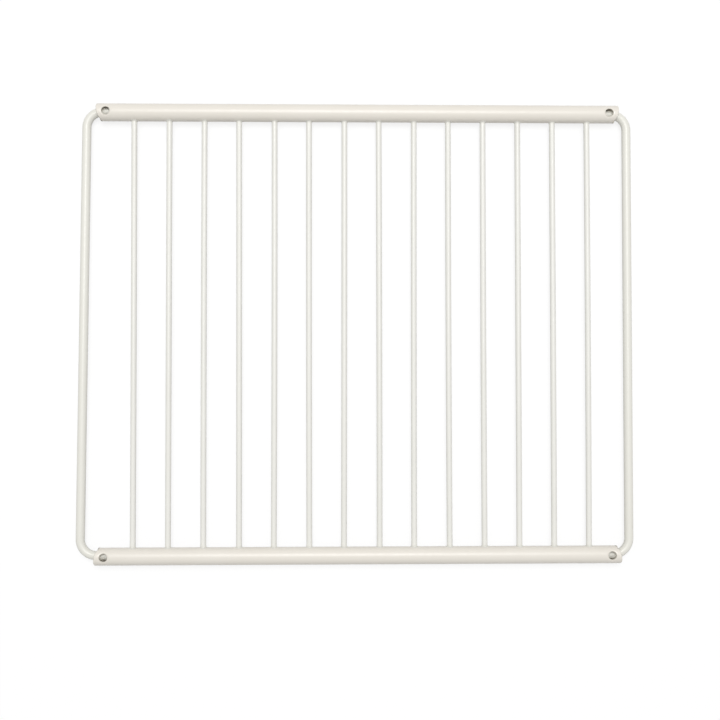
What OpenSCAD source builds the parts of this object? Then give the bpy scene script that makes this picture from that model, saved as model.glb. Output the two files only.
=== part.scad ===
// Extendable refrigerator shelf in coated steel.
// A fixed grid of two tubes and a row of welded wires carries a U-bent side frame at each end.
// The legs of the side frames slide in the tubes, so the shelf can be drawn out on both sides.
// X is the width, Y the depth with the front at -Y, and the shelf lies on z = 0.

/* [Grid] */
// Depth of the shelf over its two tubes
shelf_depth = 320; // [200:1:400]
// Length of each tube
tube_len = 365; // [250:1:500]
// Outer diameter of the tubes, coat included
tube_d = 12.2; // [11.5:0.1:16]
// Wall of the tubes, coat included
tube_wall = 1; // [0.6:0.1:1.3]
// Number of wires in the row
wire_count = 14; // [6:1:20]
// Diameter of the wires, coat included
wire_d = 4; // [3:0.1:5]
// Middle of the first wire from the left ends of the tubes
left_margin = 26.5; // [20:0.5:40]
// Middle of the last wire from the right ends of the tubes
right_margin = 22.5; // [20:0.5:40]
// Leg of the weld fillet round each end of a wire
weld_leg = 0.8; // [0.4:0.1:1.2]

/* [Tube ends] */
// Diameter of the hole in the upper wall near each end of a tube
hole_d = 5.5; // [3:0.1:6]
// Middle of that hole from the end of the tube
hole_inset = 7.5; // [7:0.5:15]
// Corner nipped off the inner side of each mouth, seen from above
mouth_nip = 2; // [1:0.5:3]

/* [Side frames] */
// Diameter of the bent rods, coat included
rod_d = 6.2; // [4:0.1:6.8]
// Radius of the bends, at the middle of the rod
bend_r = 11; // [8:0.5:16]
// Chamfer on the ends of the legs
leg_chamfer = 0.6; // [0.2:0.1:1.2]
// Smallest gap between a leg and the bore it slides in
slide_clear = 0.3; // [0.2:0.05:0.5]
// Gap between the legs that face each other in a tube, with both frames pushed in
leg_gap = 4; // [3:0.5:20]
// Middle of a side bar beyond the ends of the tubes, with its frame pushed in
closed_out = 5.8; // [5:0.1:8]

/* [Position of the frames] */
// How far the left side frame is drawn out
left_draw = 2.4; // [0:0.1:120]
// How far the right side frame is drawn out
right_draw = 0; // [0:0.1:120]
// How far up the bore the far ends of the legs have rolled, in degrees
leg_roll = 45; // [20:1:50]
// Part of its sideways play that the left frame has turned by
left_turn = 1; // [0:0.05:1]
// Part of its sideways play that the right frame has turned by
right_turn = 0.05; // [0:0.05:1]
// Where a turned leg crosses the middle of its tube, as a part of its length from the mouth
turn_at = 0.35; // [0.1:0.01:0.4]

/* [Hidden] */
$fn = 64;
// How far a cut runs past the surface that it opens
over = 1;

tube_r = tube_d / 2;
bore_r = tube_r - tube_wall;
rod_r = rod_d / 2;
wire_r = wire_d / 2;
hole_r = hole_d / 2;

// The axes of the two tubes are this far apart, and the grid is shifted to keep the shelf
// centred when one frame is drawn out further than the other
axis_gap = shelf_depth - tube_d;
grid_x = (left_draw - right_draw) / 2;
wire_pitch = (tube_len - left_margin - right_margin) / (wire_count - 1);

// A leg lies loose in its bore. Its axis can be off the tube's by leg_play: part of that is the
// drop under its own weight, and the rest is the sway that lets the frame turn a little.
leg_play = bore_r - rod_r - slide_clear;
leg_drop = leg_play * cos(leg_roll);
leg_sway = leg_play * sin(leg_roll);
leg_in = (tube_len - leg_gap) / 2;
turn_arm = leg_in * (1 - turn_at);
leg_len = leg_in - (bend_r - closed_out);
bar_len = axis_gap - 2 * bend_r;

// A pushed-in frame brings its bends into the mouths. Each mouth is cut at a slant, so that the
// bend leaves the bore just where it would use up what sway the turned leg has left there.
most_turn = max(left_turn, right_turn);
mouth_sway = leg_sway * (1 - most_turn * turn_at / (1 - turn_at));
bend_reach = sqrt(pow(bend_r, 2) - pow(bend_r - mouth_sway, 2));
mouth_depth = max(0, bend_r - closed_out - bend_reach);
mouth_slant = atan(mouth_depth / (tube_r + bore_r * sin(leg_roll)));

function wire_name(i) = str("wire_", i < 10 ? "0" : "", i);
function wire_x(i) = left_margin - tube_len / 2 + (i - 1) * wire_pitch;
function turn_angle(turn) = asin(turn * leg_sway / turn_arm);

// The grid's own frame: the middle of the grid, at the height of the tubes' axes
module in_grid() {
    translate([grid_x, 0, tube_r]) children();
}

// A cylinder along X, centred on the origin
module bar_x(r, length) {
    rotate([0, 90, 0]) cylinder(r = r, h = length, center = true);
}

// A cylinder along Y, centred on the origin
module bar_y(r, length) {
    rotate([90, 0, 0]) cylinder(r = r, h = length, center = true);
}

// What a right-hand mouth loses, seen from above: x = 0 is the tube's end, y = 0 its outer side.
// The slanted line starts at the outer side, and the inner corner is nipped off.
module mouth_plan() {
    nip_y = tube_d - mouth_nip;
    nip_x = -nip_y * tan(mouth_slant);
    polygon([
        [over * tan(mouth_slant), -over],
        [nip_x, nip_y],
        [nip_x - mouth_nip - over, tube_d + over],
        [over, tube_d + over],
        [over, -over]
    ]);
}

// The right half's cuts in a tube whose inner side is +Y
module tube_end_cuts() {
    translate([tube_len / 2, -tube_r, -tube_r - over])
        linear_extrude(tube_d + 2 * over) mouth_plan();
    translate([tube_len / 2 - hole_inset, 0, 0])
        cylinder(r = hole_r, h = tube_r + over);
}

// A tube with its inner side towards +Y
module tube() {
    color("oldlace")
    difference() {
        bar_x(tube_r, tube_len);
        bar_x(bore_r, tube_len + 2 * over);
        tube_end_cuts();
        mirror([1, 0, 0]) tube_end_cuts();
    }
}

// The weld at a wire's +Y end: a collar with a hollow fillet that runs out on the wire
module weld() {
    translate([0, axis_gap / 2, 0])
    rotate([90, 0, 0])
    rotate_extrude()
    difference() {
        square([wire_r + weld_leg, tube_r + weld_leg]);
        translate([wire_r + weld_leg, tube_r + weld_leg]) circle(r = weld_leg);
    }
}

// A wire along Y between the tubes, with both ends fitted to the round of the tubes
module wire() {
    color("oldlace")
    difference() {
        union() {
            bar_y(wire_r, axis_gap);
            weld();
            mirror([0, 1, 0]) weld();
        }
        for (side = [-1, 1])
            translate([0, side * axis_gap / 2, 0])
                bar_x(tube_r, 2 * (wire_r + weld_leg + over));
    }
}

// The rear half of a U: half the side bar, a bend and a leg, with the bar's middle at the origin
module frame_half() {
    translate([0, bar_len / 4, 0]) bar_y(rod_r, bar_len / 2);
    translate([bend_r, bar_len / 2, 0])
        rotate([0, 0, 90])
        rotate_extrude(angle = 90)
        translate([bend_r, 0]) circle(r = rod_r);
    translate([bend_r, axis_gap / 2, 0])
    rotate([0, 90, 0]) {
        cylinder(r = rod_r, h = leg_len - leg_chamfer);
        translate([0, 0, leg_len - leg_chamfer])
            cylinder(r1 = rod_r, r2 = rod_r - leg_chamfer, h = leg_chamfer);
    }
}

// A left side frame, drawn out and turned about the point where its legs cross the tubes' axes
module side_frame(draw, turn) {
    bar_x0 = -tube_len / 2 - closed_out - draw;
    turn_x = -tube_len / 2 + leg_in - draw - turn_arm;
    color("antiquewhite")
    translate([turn_x, 0, -leg_drop])
    rotate([0, 0, -turn_angle(turn)])
    translate([bar_x0 - turn_x, 0, 0]) {
        frame_half();
        mirror([0, 1, 0]) frame_half();
    }
}

module rear_tube() {
    in_grid() translate([0, axis_gap / 2, 0]) rotate([0, 0, 180]) tube();
}

module front_tube() {
    in_grid() translate([0, -axis_gap / 2, 0]) tube();
}

module left_side_frame() {
    in_grid() side_frame(left_draw, left_turn);
}

module right_side_frame() {
    in_grid() rotate([0, 0, 180]) side_frame(right_draw, right_turn);
}

module grid_wire(i) {
    in_grid() translate([wire_x(i), 0, 0]) wire();
}

rear_tube();
front_tube();
left_side_frame();
right_side_frame();
for (i = [1:wire_count])
    grid_wire(i);
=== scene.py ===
# %% [markdown]
# # Extendable refrigerator shelf
# The real shelf is coated steel: a flat grid of two tubes and fourteen welded wires, and at each
# end a rod bent to a U whose legs slide in the tubes. The imported model brings the exact solids and
# says which body each one belongs to. Everything below dresses those solids for the picture.

# %% Load the imported model
import math

import bpy
import numpy as np
from mathutils.bvhtree import BVHTree
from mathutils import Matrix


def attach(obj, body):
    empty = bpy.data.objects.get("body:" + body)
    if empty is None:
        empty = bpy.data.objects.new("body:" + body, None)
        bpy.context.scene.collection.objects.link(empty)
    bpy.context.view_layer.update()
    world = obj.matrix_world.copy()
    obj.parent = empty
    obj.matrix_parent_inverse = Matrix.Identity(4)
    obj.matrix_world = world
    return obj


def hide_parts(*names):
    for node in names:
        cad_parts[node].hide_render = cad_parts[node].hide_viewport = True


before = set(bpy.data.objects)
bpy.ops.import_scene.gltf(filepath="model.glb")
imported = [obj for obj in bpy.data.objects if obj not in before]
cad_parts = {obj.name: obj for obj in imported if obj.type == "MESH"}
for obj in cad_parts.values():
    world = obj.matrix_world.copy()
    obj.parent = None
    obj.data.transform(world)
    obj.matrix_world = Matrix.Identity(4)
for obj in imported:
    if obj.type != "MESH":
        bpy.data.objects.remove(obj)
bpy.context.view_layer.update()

MM = 0.001

# %% [markdown]
# ## The camera
# The photograph was taken by hand from above the middle, about 0.7 m up. A camera straight above
# with a long lens would draw both bars alike. This one stands a little left of and in front of the
# middle, and leans back to it, because that is where the edges of the tubes and wires put it.

# %% Set the camera
CAMERA_AT_MM = (-12.87, -36.25, 710.0)
CAMERA_TURN_DEG = (1.437, -1.212, -0.062)
LENS_MM = 50.638

camera = bpy.data.objects.new("camera", bpy.data.cameras.new("camera"))
bpy.context.scene.collection.objects.link(camera)
camera.location = [c * MM for c in CAMERA_AT_MM]
camera.rotation_euler = [math.radians(a) for a in CAMERA_TURN_DEG]
camera.data.sensor_width = 36.0
camera.data.lens = LENS_MM
camera.data.clip_start, camera.data.clip_end = 0.01, 50.0
bpy.context.scene.camera = camera
print("camera height, mm:", CAMERA_AT_MM[2], "lens, mm:", LENS_MM)

# %% [markdown]
# ## Colours and nodes
# Paint makers give colours as sRGB hex values, and Blender's shaders work in linear light. One
# function turns the first into the second. A second one adds a node together with its settings
# and links, which keeps each material short enough to read.

# %% Two helpers for materials
def linear(hex_colour):
    """sRGB hex to linear RGBA: each channel c is c/12.92 if dark, else ((c+0.055)/1.055)^2.4."""
    srgb = np.array([int(hex_colour[i:i + 2], 16) for i in (1, 3, 5)]) / 255
    lit = np.where(srgb <= 0.04045, srgb / 12.92, ((srgb + 0.055) / 1.055) ** 2.4)
    return (*lit.tolist(), 1.0)


def add(tree, kind, inputs=None, **settings):
    """Adds one node: settings are its properties, inputs a value or a feeding socket for each."""
    node = tree.nodes.new(kind)
    for key, value in settings.items():
        setattr(node, key, value)
    for key, value in (inputs or {}).items():
        if isinstance(value, bpy.types.NodeSocket):
            tree.links.new(value, node.inputs[key])
        else:
            node.inputs[key].default_value = value
    return node


def new_material(name):
    """An empty node material, and its tree with nothing but the output in it."""
    made = bpy.data.materials.new(name)
    made.use_nodes = True
    made.node_tree.nodes.clear()
    return made, made.node_tree


print("warm white in linear light:", [round(c, 3) for c in linear("#EFE8DB")])

# %% [markdown]
# ## Light, floor and background
# The shelf lay on white under one broad light from overhead, a little towards its rear: each tube
# is brightest above its middle and turns grey towards the front. A sky of even light fills the
# rest. The floor is plain paper, and the camera sees it as white by its colour alone, so it needs
# no extra light, and it still darkens a little where the shelf shades it.

# %% Build the studio
LAMP_SIZE, LAMP_FAR, LAMP_LEAN_DEG, LAMP_WATT = 1.1, 2.2, 16.0, 25.6
SKY_FILL = 0.46

lean = math.radians(LAMP_LEAN_DEG)
lamp = bpy.data.objects.new("softbox", bpy.data.lights.new("softbox", "AREA"))
bpy.context.scene.collection.objects.link(lamp)
lamp.location = (0, LAMP_FAR * math.sin(lean), LAMP_FAR * math.cos(lean))
lamp.rotation_euler = (-lean, 0, 0)
lamp.data.size, lamp.data.energy = LAMP_SIZE, LAMP_WATT


def seen_directly(tree):
    """1 for rays from the camera, off gloss or through glass, and 0 for those that light things."""
    ray = add(tree, "ShaderNodeLightPath")
    seen = ray.outputs["Is Camera Ray"]
    for kind in ("Is Transmission Ray", "Is Glossy Ray"):
        seen = add(tree, "ShaderNodeMath", {0: seen, 1: ray.outputs[kind]}, operation="MAXIMUM").outputs[0]
    return seen


world = bpy.data.worlds.new("studio")
world.use_nodes = True
bpy.context.scene.world = world
tree = world.node_tree
tree.nodes.clear()
power = add(tree, "ShaderNodeMapRange", {"Value": seen_directly(tree), "To Min": SKY_FILL, "To Max": 1.0})
sky = add(tree, "ShaderNodeBackground", {"Color": (1, 1, 1, 1), "Strength": power.outputs[0]})
add(tree, "ShaderNodeOutputWorld", {"Surface": sky.outputs[0]})
bpy.context.scene.view_settings.view_transform = "Standard"
print("lamp", LAMP_WATT, "W, sky", SKY_FILL)

# %% Lay the paper
PAPER_GLOW, PAPER_BOUNCE, PAPER_WHITE = 0.76, 0.45, 1.04

paper, tree = new_material("white_paper")
sees = seen_directly(tree)
tone = add(tree, "ShaderNodeMapRange", {"Value": sees, "To Min": PAPER_BOUNCE, "To Max": 1.0})
shaded = add(tree, "ShaderNodeBsdfDiffuse", {"Color": tone.outputs[0]})
white = add(tree, "ShaderNodeEmission", {"Color": (1, 1, 1, 1), "Strength": PAPER_WHITE})
part = add(tree, "ShaderNodeMath", {0: sees, 1: PAPER_GLOW}, operation="MULTIPLY")
both = add(tree, "ShaderNodeMixShader", {0: part.outputs[0], 1: shaded.outputs[0], 2: white.outputs[0]})
add(tree, "ShaderNodeOutputMaterial", {"Surface": both.outputs[0]})

FLOOR_HALF = 4.0
floor_mesh = bpy.data.meshes.new("floor")
corners = [(-1, -1, 0), (1, -1, 0), (1, 1, 0), (-1, 1, 0)]
floor_mesh.from_pydata([tuple(FLOOR_HALF * c for c in p) for p in corners], [], [(0, 1, 2, 3)])
floor_mesh.materials.append(paper)
floor = bpy.data.objects.new("floor", floor_mesh)
bpy.context.scene.collection.objects.link(floor)
print("floor, m:", 2 * FLOOR_HALF)

# %% [markdown]
# ## What the drawing says
# The pieces below are made again from the sizes on the drawing, so that their edges can be soft
# and their welds uneven, and each is then measured against the solid that it stands for.

# %% Sizes from the drawing, in millimetres
TUBE_LEN, TUBE_D, TUBE_WALL = 365.0, 12.2, 1.0
AXIS_GAP = 320.0 - TUBE_D
HOLE_D, HOLE_INSET = 5.5, 7.5
MOUTH_SLANT_DEG, MOUTH_NIP = 10.22, 2.0
WIRE_D, WELD_LEG = 4.0, 0.8
ROD_D, BEND_R, LEG_CHAMFER = 6.2, 11.0, 0.6

TUBE_R, BORE_R = TUBE_D / 2, TUBE_D / 2 - TUBE_WALL
print("bore, mm:", 2 * BORE_R, "axes apart, mm:", AXIS_GAP)

# %% [markdown]
# ## Powder coat
# The steel is powder coated in warm white: a dry powder is melted on in an oven, so it ends up
# satin, with a fine orange peel, and thinner where it drew back from an edge. A flat colour would
# look like plastic. So the colour drifts a little, the gloss changes with the peel, and two values
# stored on the points say where the coat is thinner and where the bore is left as bare steel. On
# the wires the first value is painted shade instead, darkening the crease where each wire meets a tube.

# %% Make the powder coat
PEEL_MM, PEEL_DEEP_MM = 1.7, 0.012
DRIFT_MM = 34.0
BARE_STEEL = "#6B665F"


def powder_coat(name, colour, drift, thin_coat_and_shade):
    """Satin polyester powder: its colour and slow drift, and the tone that the edge value mixes in, which is
    thinner coat at an edge and painted shade in a weld's crease.
    """
    made, tree = new_material(name)
    place = add(tree, "ShaderNodeTexCoord").outputs["Object"]
    slow = add(tree, "ShaderNodeTexNoise", {"Vector": place, "Scale": 1 / (DRIFT_MM * MM), "Detail": 2.0})
    peel = add(tree, "ShaderNodeTexNoise", {
        "Vector": place, "Scale": 1 / (PEEL_MM * MM), "Detail": 1.0, "Roughness": 0.4,
    })
    # The edge value mixes in the darker third colour: thinner coat at lips and hole rims, painted shade in
    # the crease at each wire's weld.
    edge = add(tree, "ShaderNodeAttribute", attribute_name="edge").outputs["Fac"]
    bare = add(tree, "ShaderNodeAttribute", attribute_name="bare").outputs["Fac"]
    tint = linear(colour)
    for amount, other in ((slow.outputs[0], drift), (edge, thin_coat_and_shade), (bare, BARE_STEEL)):
        tint = add(tree, "ShaderNodeMix", {0: amount, 6: tint, 7: linear(other)}, data_type="RGBA").outputs[2]
    gloss = add(tree, "ShaderNodeMapRange", {
        "Value": peel.outputs[0], "From Min": 0.3, "From Max": 0.7, "To Min": 0.28, "To Max": 0.38,
    })
    relief = add(tree, "ShaderNodeBump", {
        "Height": peel.outputs[0], "Strength": 0.5, "Distance": PEEL_DEEP_MM * MM,
    })
    skin = add(tree, "ShaderNodeBsdfPrincipled", {
        "Base Color": tint, "Roughness": gloss.outputs[0], "Metallic": bare,
        "Normal": relief.outputs[0], "IOR": 1.5,
    })
    add(tree, "ShaderNodeOutputMaterial", {"Surface": skin.outputs[0]})
    return made


tube_coat = powder_coat("powder_coat_tube", "#F4EFE6", "#EFE9DE", "#DDD7CB")
# On the wires the third colour is only used as painted shade in the weld creases.
wire_coat = powder_coat("powder_coat_wire", "#F6F5EF", "#F0EFE8", "#DEDCD3")
rod_coat = powder_coat("powder_coat_rod", "#F4F3EB", "#EFEDE4", "#DDDAD0")
print("coats:", tube_coat.name, wire_coat.name, rod_coat.name)

# %% [markdown]
# ## From a grid of points to a piece
# Every surface here is a grid of numbered points. Neighbouring numbers give the faces, so two
# grids that share a row of numbers are joined without a seam.

# %% Grid to faces, faces to piece
def quads(index, wrap_rows=False, wrap_columns=False):
    """Faces between neighbours of a grid of point numbers: (i,j), (i,j+1), (i+1,j+1), (i+1,j)."""
    if wrap_rows:
        index = np.concatenate([index, index[:1]], 0)
    if wrap_columns:
        index = np.concatenate([index, index[:, :1]], 1)
    return np.stack([index[:-1, :-1], index[:-1, 1:], index[1:, 1:], index[1:, :-1]], -1)


def volume_mm3(points, faces):
    """Each face cut into triangles: a sixth of the triple products of their corners, summed."""
    a, b, c, d = (points[faces[:, k]] for k in range(4))
    return (np.einsum("ij,ij", a, np.cross(b, c)) + np.einsum("ij,ij", a, np.cross(c, d))) / 6


def off_the_solid(piece, node):
    """How far the points of the piece lie from the CAD node's surface on average, in mm."""
    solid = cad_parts[node].data
    tree = BVHTree.FromPolygons([v.co for v in solid.vertices], [p.vertices for p in solid.polygons])
    return np.mean([tree.find_nearest(v.co)[3] for v in piece.data.vertices]) / MM


def add_piece(name, points, faces, material, body, slot, node, **values):
    """Puts a grid of points, in mm, into a mesh at the origin, and lets it stand for its node."""
    mesh = bpy.data.meshes.new(name)
    mesh.from_pydata(points * MM, [], faces)
    for key, value in values.items():
        mesh.attributes.new(key, "FLOAT", "POINT").data.foreach_set("value", value.astype(np.float32))
    mesh.polygons.foreach_set("use_smooth", np.ones(len(faces), bool))
    mesh.materials.append(material)
    mesh.update()
    piece = bpy.data.objects.new(name, mesh)
    bpy.context.scene.collection.objects.link(piece)
    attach(piece, body)
    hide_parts(node)
    off = off_the_solid(piece, node)
    print(f"{name}: {len(faces)} faces, {volume_mm3(points, faces):.1f} mm3, {off:.3f} mm off its solid")
    return piece


# %% [markdown]
# ## The two tubes
# Each is a welded steel tube. Both mouths are sawn at a slant and lose their inner corner, so
# that the bend of the rod can come in, and a hole is drilled through the upper wall near each end.
# A boolean would leave knife edges. Here the wall is one closed sheet, like a long ring: out along
# the outside, round the lip, back along the bore and round the other lip. The holes are second
# sheets that run from a square of the outside, over a rounded rim, to the same square of the bore.

# %% The mouth's outline
BLUNT = 1.1
OUTER_NIP = 0.4


def mouth(y):
    """How far the right mouth reaches at y: the lowest of the sawn line and a 45 degree line over
    each corner, blended by B times the log of the sum of exp(line / B)."""
    slant = math.tan(math.radians(MOUTH_SLANT_DEG))
    sawn = TUBE_LEN / 2 - (y + TUBE_R) * slant
    corner = TUBE_LEN / 2 - (TUBE_D - MOUTH_NIP) * slant
    nipped = corner - (y - TUBE_R + MOUTH_NIP)
    outer = TUBE_LEN / 2 - OUTER_NIP + (y + TUBE_R)
    lines = [np.exp((TUBE_LEN / 2 - line) / BLUNT) for line in (sawn, nipped, outer)]
    return TUBE_LEN / 2 - BLUNT * np.log(sum(lines))


mouth_at = [round(float(mouth(y)), 2) for y in (-TUBE_R, 0, TUBE_R)]
print("mouth at the outer side, middle and inner side:", mouth_at)

# %% The grid of a tube
LIP = 0.4
PATCH = 4.2
PATCH_STEPS, ROUND_STEPS, LIP_STEPS, MOUTH_STEPS, LONG_STEPS = 16, 48, 10, 7, 61
HOLE_X = TUBE_LEN / 2 - HOLE_INSET
patch_turn = PATCH / TUBE_R
angle = np.concatenate([
    np.linspace(-patch_turn, patch_turn, PATCH_STEPS, endpoint=False),
    np.linspace(patch_turn, 2 * np.pi - patch_turn, ROUND_STEPS, endpoint=False),
])
step = np.linspace(-PATCH, PATCH, PATCH_STEPS + 1)
middle = np.linspace(PATCH - HOLE_X, HOLE_X - PATCH, LONG_STEPS + 1)[1:-1]
near_mouth = 1 - (1 - np.linspace(0, 1, MOUTH_STEPS + 1)[1:]) ** 2
right_stop = np.full(MOUTH_STEPS, HOLE_X + PATCH)
base = np.concatenate([-right_stop, step - HOLE_X, middle, step + HOLE_X, right_stop])
reach = np.concatenate([-near_mouth[::-1], np.zeros(len(base) - 2 * MOUTH_STEPS), near_mouth])


def wall(radius):
    """One side of the wall: rows go round the tube, columns along it, stretched to the mouths."""
    a = angle[:, None]
    x = base + reach * (mouth(radius * np.sin(a)) - LIP - HOLE_X - PATCH)
    return np.stack([x, radius * np.sin(a) + 0 * x, radius * np.cos(a) + 0 * x], -1)


def lip(t):
    """The right lip: half an ellipse over the wall, t from 0 outside to pi inside."""
    a = angle[:, None]
    radius = (TUBE_R + BORE_R) / 2 + TUBE_WALL / 2 * np.cos(t)
    y = radius * np.sin(a)
    return np.stack([mouth(y) - LIP + LIP * np.sin(t), y, radius * np.cos(a) + 0 * y], -1)


over_lip = np.pi * np.arange(1, LIP_STEPS) / LIP_STEPS
right_lip = lip(over_lip)
left_lip = right_lip[:, ::-1] * (-1, 1, 1)
skin = np.concatenate([wall(TUBE_R), right_lip, wall(BORE_R)[:, ::-1], left_lip], 1)
print("tube sheet:", skin.shape[:2])

# %% The sheet through a hole
RIM, DISH, DISH_WIDE = 0.3, 0.16, 0.55


def hole_sheet(x0, outer_edge, bore_edge):
    """Rings from the square on the outside to the one in the bore, between them the rim."""
    ease = (1 - (1 - np.linspace(0, 1, 9)[1:]) ** 1.6)[:, None]
    turn = (np.linspace(0, 90, 7)[1:] * np.pi / 180)[:, None]
    rings = []
    for edge, radius in ((outer_edge, TUBE_R), (bore_edge, BORE_R)):
        plan = edge[:, :2] - (x0, 0)
        phi = np.arctan2(plan[:, 1], plan[:, 0])
        start = HOLE_D / 2 + RIM
        round_edge = start * np.stack([np.cos(phi), np.sin(phi)], -1)
        flat = plan * (1 - ease[..., None]) + ease[..., None] * round_edge
        away = np.hypot(flat[..., 0], flat[..., 1])
        rho = np.concatenate([away, HOLE_D / 2 + RIM * (1 - np.sin(turn)) + 0 * phi])
        phi = np.arctan2(flat[..., 1], flat[..., 0])
        phi = np.concatenate([phi, np.repeat(phi[-1:], len(turn), 0)])
        sunk = DISH * np.exp(-(((rho - start) / DISH_WIDE) ** 2)) * (rho >= start) + DISH * (rho < start)
        sign = 1 if radius == TUBE_R else -1
        curl = np.concatenate([0 * away, RIM * (1 - np.cos(turn)) + 0 * phi[-1]])
        y = rho * np.sin(phi)
        z = np.sqrt((radius - sunk - sign * curl) ** 2 - y ** 2)
        ring = np.stack([x0 + rho * np.cos(phi), y, z], -1)
        rings.append(ring if radius == TUBE_R else ring[::-1])
    return np.concatenate(rings)


def square_numbers(first_column):
    """Point numbers round a hole's square, counter-clockwise from its low corner."""
    n, c = PATCH_STEPS, first_column
    rows = np.concatenate([np.zeros(n, int), np.arange(n), np.full(n, n), np.arange(n, 0, -1)])
    columns = np.concatenate([np.arange(n), np.full(n, n), np.arange(n, 0, -1), np.zeros(n, int)])
    return rows, columns + c


print("rim, mm:", RIM, "dish, mm:", DISH)

# %% Join the sheets to one tube
columns = skin.shape[1]
number = np.arange(skin.shape[0] * columns).reshape(-1, columns)
faces = quads(number, wrap_rows=True, wrap_columns=True)
flat_points = skin.reshape(-1, 3)
sheets, points, keep = [], [flat_points], np.ones(faces.shape[:2], bool)
count = len(flat_points)
last_bore = 2 * len(base) + LIP_STEPS - 2
for side in (-1, 1):
    first = np.flatnonzero(base == side * HOLE_X - PATCH)[-1] if side > 0 else MOUTH_STEPS
    inner_last = last_bore - first
    keep[:PATCH_STEPS, first:first + PATCH_STEPS] = False
    keep[:PATCH_STEPS, inner_last - PATCH_STEPS:inner_last] = False
    rows, cols = square_numbers(first)
    outer_ring = number[rows, cols]
    bore_ring = number[rows, last_bore - cols]
    between = hole_sheet(side * HOLE_X, flat_points[outer_ring], flat_points[bore_ring])
    fresh = count + np.arange(between.shape[0] * between.shape[1]).reshape(between.shape[:2])
    count += fresh.size
    points.append(between.reshape(-1, 3))
    rings = np.concatenate([outer_ring[None], fresh, bore_ring[None]])
    sheets.append(quads(rings, wrap_columns=True).reshape(-1, 4))
all_points = np.concatenate(points)
used, tube_faces = np.unique(np.concatenate([faces[keep]] + sheets), return_inverse=True)
tube_points, tube_faces = all_points[used], tube_faces.reshape(-1, 4)
print("tube:", len(tube_points), "points,", round(volume_mm3(tube_points, tube_faces), 1), "mm3")

# %% Place the two tubes
GRID_X = 1.2
BARE_OVER, RIM_SHIFT, RIM_WIDE = 14.0, 0.1, 0.25
plain, lip_round = np.zeros(wall(TUBE_R).shape[:2]), 0 * right_lip[..., 0]
into_bore = HOLE_X + 5 - np.abs(wall(BORE_R)[:, ::-1, 0])
depth_in = np.concatenate([plain, lip_round, into_bore, lip_round], 1).ravel()
over_edge = lip_round + np.sin(over_lip)
lip_edge = np.concatenate([plain, over_edge, plain, over_edge[:, ::-1]], 1).ravel()
extra = len(all_points) - len(flat_points)
bare = np.concatenate([np.clip(depth_in / BARE_OVER, 0, 1), np.zeros(extra)])[used]
off_hole = np.hypot(np.abs(all_points[:, 0]) - HOLE_X, all_points[:, 1]) - HOLE_D / 2 - RIM_SHIFT
rim_edge = np.exp(-(off_hole / RIM_WIDE) ** 2) * (np.arange(len(all_points)) >= len(flat_points))
edge = (np.concatenate([lip_edge, np.zeros(extra)]) + rim_edge)[used]
for name, node, turn in (("tube_front", "front_tube", 1), ("tube_rear", "rear_tube", -1)):
    placed = tube_points * (turn, turn, 1) + (GRID_X, -turn * AXIS_GAP / 2, TUBE_R)
    add_piece(name, placed, tube_faces, tube_coat, "grid", "coated_tube", node, bare=bare, edge=edge)

# %% [markdown]
# ## The fourteen wires
# The wires are butt welded to the inner sides of the tubes at mid height. Each weld is a small
# hollow fillet, never quite even, and no wire is perfectly straight. A cylinder would end flat
# and leave a gap beside the round tube, so every line of points along a wire ends on the tube.
# Each weld's crease is also painted darker in colour, as painted shade.

# %% One wire
AROUND = 32
WIRE_R = WIRE_D / 2
SUNK = 0.12
BOW, LEAN, UNEVEN = 0.22, 0.25, 0.16
draw = np.random.default_rng(14)
round_wire = 2 * np.pi * np.arange(AROUND) / AROUND


def wire_end(phases):
    """Distance from the tube and radius over one end: a hollow fillet of uneven leg."""
    waves = sum(np.sin((k + 2) * round_wire + phases[k]) / (k + 1) for k in range(3))
    leg = WELD_LEG * (1 + UNEVEN * waves)[:, None]
    far = np.concatenate([[-SUNK / WELD_LEG], 1 - np.cos(np.linspace(0, np.pi / 2, 9))])
    radius = WIRE_R + leg * (1 - np.sqrt(1 - (1 - np.clip(far, 0, 1)) ** 2))
    far = np.concatenate([far, np.array([1.2, 1.6, 2.6, 5.0, 10.0])])
    radius = np.concatenate([radius, np.full((AROUND, 5), WIRE_R)], 1)
    return leg * far, radius


def wire_points(x0, bow, lean, phases):
    """Rows round the wire, columns from the front tube to the rear one."""
    front, rear = wire_end(phases[:3]), wire_end(phases[3:])
    middle = np.linspace(0, 1, 26)[1:-1]
    sides = []
    for (far, radius), side in ((front, -1), (rear, 1)):
        height = radius * np.sin(round_wire)[:, None]
        y = side * (AXIS_GAP / 2 - np.sqrt(TUBE_R ** 2 - height ** 2) - far)
        sides.append((y, radius))
    (y0, r0), (y1, r1) = sides
    y1, r1 = y1[:, ::-1], r1[:, ::-1]
    span = y0[:, -1:] + (y1[:, :1] - y0[:, -1:]) * middle
    y = np.concatenate([y0, span, y1], 1)
    radius = np.concatenate([r0, np.full(span.shape, WIRE_R), r1], 1)
    part = 2 * y / AXIS_GAP
    x = x0 + bow * (1 - part ** 2) + lean * part + radius * np.cos(round_wire)[:, None]
    return np.stack([x, y, TUBE_R + radius * np.sin(round_wire)[:, None]], -1)


def capped(points):
    """Closes a bar: quads along it, and at each end quads straight across the ring."""
    rows, columns = points.shape[:2]
    index = np.arange(rows * columns).reshape(rows, columns)
    side = quads(index, wrap_rows=True).reshape(-1, 4)
    ends = [np.stack([r[:rows // 2], r[:rows // 2 - 1:-1]]) for r in (index[:, 0], index[:, -1])]
    first, last = (quads(e).reshape(-1, 4) for e in ends)
    return points.reshape(-1, 3), np.concatenate([side, first, last[:, ::-1]])


print("wire grid:", wire_points(0, 0, 0, np.zeros(6)).shape)
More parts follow.
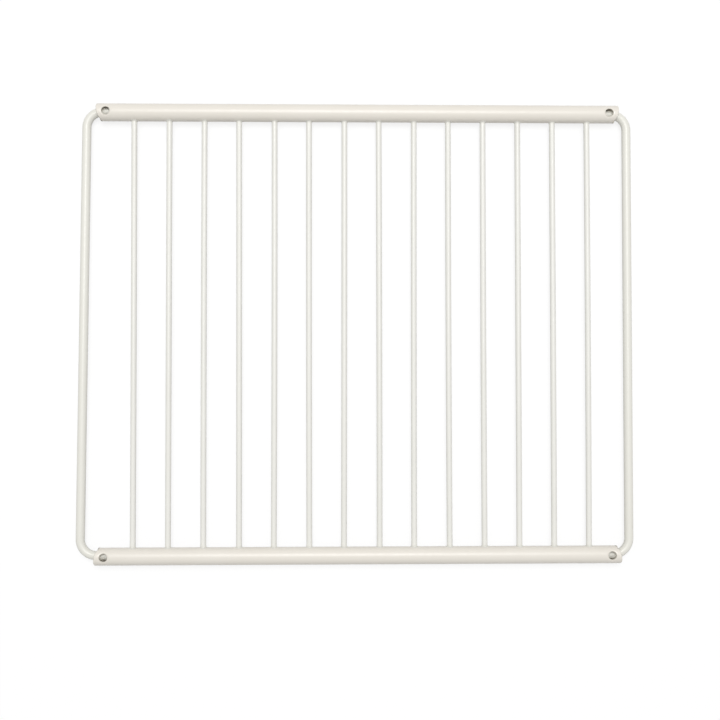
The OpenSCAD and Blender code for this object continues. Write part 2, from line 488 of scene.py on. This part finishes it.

# %% Place the wires
# The last value is how strongly painted shade darkens the crease at each weld.
WIRE_COUNT, LEFT_MARGIN, RIGHT_MARGIN, WELD_CREASE_SHADE = 14, 26.5, 22.5, 0.8
pitch = (TUBE_LEN - LEFT_MARGIN - RIGHT_MARGIN) / (WIRE_COUNT - 1)
for i in range(WIRE_COUNT):
    x0 = GRID_X + LEFT_MARGIN - TUBE_LEN / 2 + i * pitch
    bow, lean_over = BOW * draw.uniform(-1, 1), LEAN * draw.uniform(-1, 1)
    points, faces = capped(wire_points(x0, bow, lean_over, draw.uniform(0, 2 * np.pi, 6)))
    # Painted shade: the wire's colour turns darker towards the tube, most in the crease of the weld.
    weld_crease_shade = WELD_CREASE_SHADE * np.exp(-((AXIS_GAP / 2 - TUBE_R - np.abs(points[:, 1])) / WELD_LEG) ** 2)
    name = f"wire_{i + 1:02d}"
    add_piece("cross_" + name, points, faces, wire_coat, "grid", "coated_wire", name, edge=weld_crease_shade)

# %% [markdown]
# ## The two side frames
# Each frame is one rod, bent twice round a former to a U. Its legs lie on the bottom of the
# bores, rolled a little up their walls, so the frame hangs lower than the grid and can sit askew.
# A bevelled curve would do, but a profile carried along a worked-out path lets the bends flatten
# a little, as they do over a former, and gives the sawn ends of the legs their chamfer.

# %% The path of a rod
ROD_R = ROD_D / 2
SLIDE_CLEAR, LEG_ROLL_DEG, LEG_GAP, CLOSED_OUT, TURN_AT = 0.3, 45.0, 4.0, 5.8, 0.35
leg_in = (TUBE_LEN - LEG_GAP) / 2
leg_len = leg_in - (BEND_R - CLOSED_OUT)
bar_len = AXIS_GAP - 2 * BEND_R
arc_len = BEND_R * np.pi / 2
total_len = 2 * leg_len + 2 * arc_len + bar_len


def rod_path(s):
    """Where a U has got to after length s, and its heading: an arc turns by length over radius."""
    leg_1 = np.clip(s, 0, leg_len)
    turn_1 = np.clip(s - leg_len, 0, arc_len) / BEND_R
    bar = np.clip(s - leg_len - arc_len, 0, bar_len)
    turn_2 = np.clip(s - leg_len - arc_len - bar_len, 0, arc_len) / BEND_R
    leg_2 = np.clip(s - leg_len - 2 * arc_len - bar_len, 0, leg_len)
    x = BEND_R + leg_len - leg_1 - BEND_R * np.sin(turn_1) + BEND_R * (1 - np.cos(turn_2)) + leg_2
    y = AXIS_GAP / 2 - BEND_R * (1 - np.cos(turn_1)) - bar - BEND_R * np.sin(turn_2)
    return x, y, np.pi + turn_1 + turn_2


def bent(s):
    """1 in the middle of a bend and 0 on the straights."""
    mids = leg_len + arc_len / 2 + np.array([[0], [arc_len + bar_len]])
    return np.exp(-((s - mids) / (arc_len / 3)) ** 2).sum(0)


FLAT = 0.018
END_STEPS = 6
turn = np.linspace(0, np.pi / 2, END_STEPS)
straight = np.linspace(0, 1, 46)[1:-1]
arc = np.linspace(0, 1, 25)
s = np.concatenate([
    LEG_CHAMFER * (1 - np.cos(turn)),
    LEG_CHAMFER + (leg_len - LEG_CHAMFER) * straight,
    leg_len + arc_len * arc,
    leg_len + arc_len + bar_len * np.linspace(0, 1, 60)[1:-1],
    leg_len + arc_len + bar_len + arc_len * arc,
    total_len - leg_len + (leg_len - LEG_CHAMFER) * straight,
    total_len - LEG_CHAMFER * (1 - np.cos(turn[::-1])),
])
end_cut = np.minimum(s, total_len - s)
to_full = LEG_CHAMFER - np.clip(end_cut, 0, LEG_CHAMFER)
slim = ROD_R - LEG_CHAMFER + np.sqrt(np.clip(LEG_CHAMFER ** 2 - to_full ** 2, 0, None))
x, y, heading = rod_path(s)
side_way = np.cos(round_wire)[:, None] * slim * (1 - FLAT * bent(s))
height = np.sin(round_wire)[:, None] * slim
rod_grid = np.stack([x + np.sin(heading) * side_way, y - np.cos(heading) * side_way, height], -1)
rod_points, rod_faces = capped(rod_grid)
print("rod:", round(total_len, 1), "mm long,", round(volume_mm3(rod_points, rod_faces), 1), "mm3")

# %% Place the side frames
leg_play = BORE_R - ROD_R - SLIDE_CLEAR
leg_drop = leg_play * math.cos(math.radians(LEG_ROLL_DEG))
leg_sway = leg_play * math.sin(math.radians(LEG_ROLL_DEG))
turn_arm = leg_in * (1 - TURN_AT)
for name, node, body, drawn, part, side in (
    ("rod_left", "left_side_frame", "left_frame", 2.4, 1.0, 1),
    ("rod_right", "right_side_frame", "right_frame", 0.0, 0.05, -1),
):
    skew = -math.asin(part * leg_sway / turn_arm)
    pivot = -TUBE_LEN / 2 + leg_in - drawn - turn_arm
    local = rod_points + (-TUBE_LEN / 2 - CLOSED_OUT - drawn - pivot, 0, 0)
    turned = np.stack([
        local[:, 0] * math.cos(skew) - local[:, 1] * math.sin(skew) + pivot,
        local[:, 0] * math.sin(skew) + local[:, 1] * math.cos(skew),
        local[:, 2] + TUBE_R - leg_drop,
    ], -1)
    placed = turned * (side, side, 1) + (GRID_X, 0, 0)
    add_piece(name, placed, rod_faces, rod_coat, body, "coated_rod", node)
